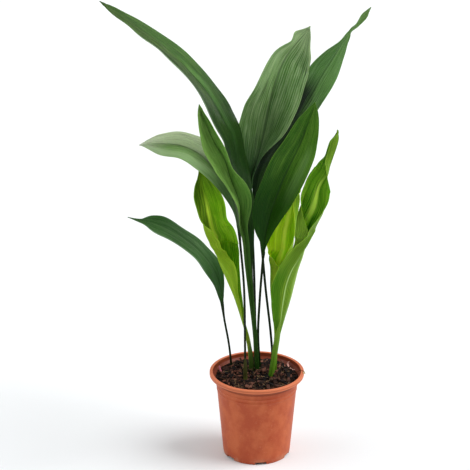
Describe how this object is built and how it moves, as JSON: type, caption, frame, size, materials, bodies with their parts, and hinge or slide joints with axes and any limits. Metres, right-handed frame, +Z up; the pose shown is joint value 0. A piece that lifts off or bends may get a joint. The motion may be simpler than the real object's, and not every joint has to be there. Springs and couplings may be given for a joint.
{
  "type": "potted cast iron plant",
  "caption": "House plant with tall lance-shaped leaves on thin stalks, standing in a soil-filled tapered plastic nursery pot.",
  "frame": {"origin": "middle of the pot's flat underside, on the surface that the pot stands on", "axes": "+Z up, -Y towards the front of the plant, +X to its right as seen from the front"},
  "size_m": [0.3879, 0.1925, 0.6885],
  "materials": {
    "pot_plastic": "moulded terracotta-coloured plastic, satin",
    "bark_soil": "coarse dark brown bark and peat mix",
    "rhizome": "scaly pale brown rhizome",
    "leaf_dark": "leathery dark green leaf with fine lengthwise veins, satin",
    "leaf_mid": "leathery mid green leaf with fine lengthwise veins, satin",
    "leaf_young": "young yellow-green leaf with paler streaks, satin",
    "sheath_dry": "dry papery brown sheath",
    "sheath_young": "fresh yellow-green sheath, satin"
  },
  "bodies": {
    "root": {"pot": "pot_plastic", "soil": "bark_soil", "rhizome": "rhizome", "leaf_arching_left": "leaf_dark", "leaf_broad_back": "leaf_dark", "leaf_twisted_right": "leaf_dark", "leaf_front_right": "leaf_mid", "leaf_front_left": "leaf_mid", "leaf_bent_left": "leaf_mid", "leaf_bright_left": "leaf_young", "leaf_drooping_low": "leaf_dark", "leaf_striped_right": "leaf_young", "leaf_folded_right": "leaf_young", "sheath_bent_left": "sheath_dry", "sheath_bright_left": "sheath_young", "sheath_folded_right": "sheath_young"}
  },
  "joints": []
}
